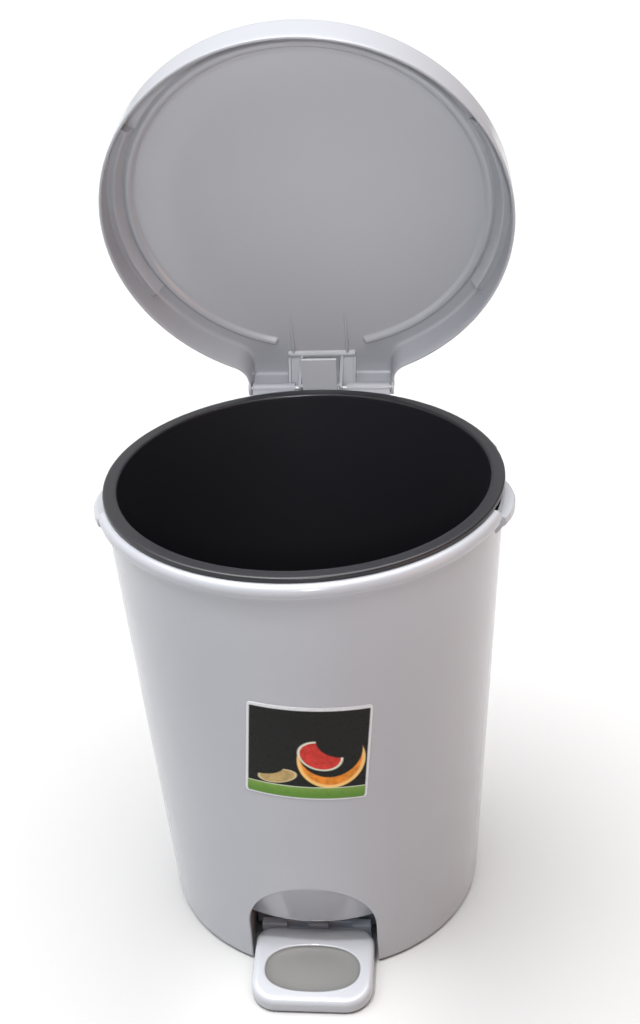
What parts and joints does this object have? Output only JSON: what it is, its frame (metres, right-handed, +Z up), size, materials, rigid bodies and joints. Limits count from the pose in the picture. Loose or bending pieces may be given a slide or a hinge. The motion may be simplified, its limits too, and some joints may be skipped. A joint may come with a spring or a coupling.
{
  "type": "pedal bin",
  "caption": "Round pedal bin with a tapered outer body, dark lift-out bucket, domed-edge lid on a rear hinge, and a pedal that lifts the lid through a lever and strap",
  "frame": {"origin": "centre of the foot ring, on the ground", "axes": "+Z up, -Y towards the pedal, +Y towards the lid hinge, +X to the right seen from the pedal side"},
  "size_m": [0.304, 0.354, 0.6608],
  "materials": {
    "white_plastic": "glossy moulded white plastic",
    "satin_plastic": "plain moulded pale grey plastic",
    "dark_plastic": "satin black moulded plastic with a polished rim",
    "steel": "plain drawn steel pin or plated screw",
    "label_film": null
  },
  "bodies": {
    "bin_body": {"outer_body": "white_plastic", "inner_bucket": "dark_plastic", "hinge_bracket": "white_plastic", "bracket_screws": "steel", "hinge_pin": "steel", "strap_guides": "satin_plastic", "pedal_axle": "steel", "axle_clips": "steel", "axle_saddles": "satin_plastic", "saddle_screws": "steel", "base_plate": "satin_plastic", "base_screws": "steel", "label": "label_film"},
    "lid_group": {"lid": "white_plastic", "lift_pin": "steel"},
    "strap_group": {"lift_strap": "white_plastic"},
    "pedal_group": {"pedal": "white_plastic", "pedal_lever": "satin_plastic", "pedal_screws": "steel"}
  },
  "joints": [
    {"name": "lid_hinge", "type": "hinge", "parent": "bin_body", "child": "lid_group", "pos_m": [0, 0.1575, 0.36], "axis": [-1, 0, 0], "range_deg": [-71.5, 0]},
    {"name": "strap_slide", "type": "slide", "parent": "bin_body", "child": "strap_group", "axis": [0, 0, 1], "range_m": [-0.0094, 0]},
    {"name": "pedal_pivot", "type": "hinge", "parent": "bin_body", "child": "pedal_group", "pos_m": [0, 0.04, 0.016], "axis": [1, 0, 0], "range_deg": [-6.87, 0]}
  ],
  "couplings": [
    {"joint": "strap_slide", "follows": "lid_hinge", "m_per_rad": 0.007491},
    {"joint": "pedal_pivot", "follows": "lid_hinge", "ratio": 0.09504}
  ]
}
